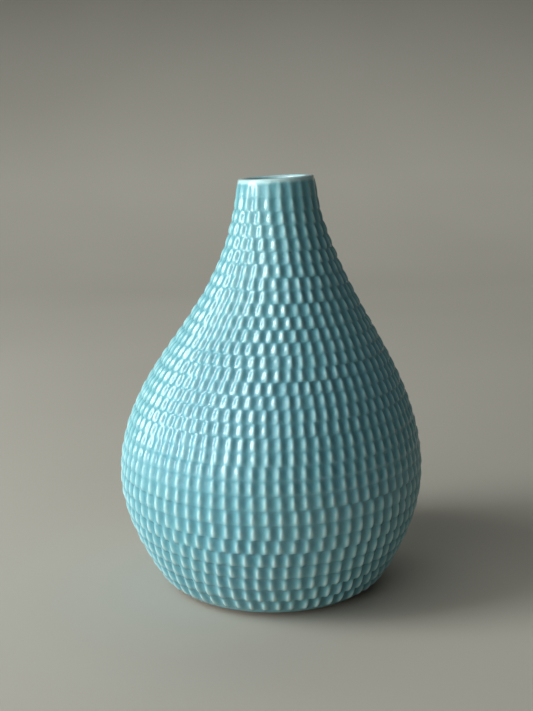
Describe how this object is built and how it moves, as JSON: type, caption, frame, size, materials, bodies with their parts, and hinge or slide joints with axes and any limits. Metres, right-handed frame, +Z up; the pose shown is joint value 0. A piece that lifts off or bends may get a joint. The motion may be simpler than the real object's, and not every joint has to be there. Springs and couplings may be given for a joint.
{
  "type": "ceramic bud vase",
  "caption": "Small round-bellied ceramic bud vase with a narrow, slightly crooked neck and a dimpled glazed outside, for one stem or a few.",
  "frame": {"origin": "under the middle of the belly, on the surface the vase stands on", "axes": "+Z up from the foot to the mouth, +X the side the neck leans to"},
  "size_m": [0.1192, 0.1192, 0.1614],
  "materials": {
    "clay": "matte",
    "outer_glaze": "satin",
    "inner_glaze": "gloss"
  },
  "bodies": {
    "root": {"clay_body": "clay", "outer_glaze": "outer_glaze", "inner_glaze": "inner_glaze"}
  },
  "joints": []
}
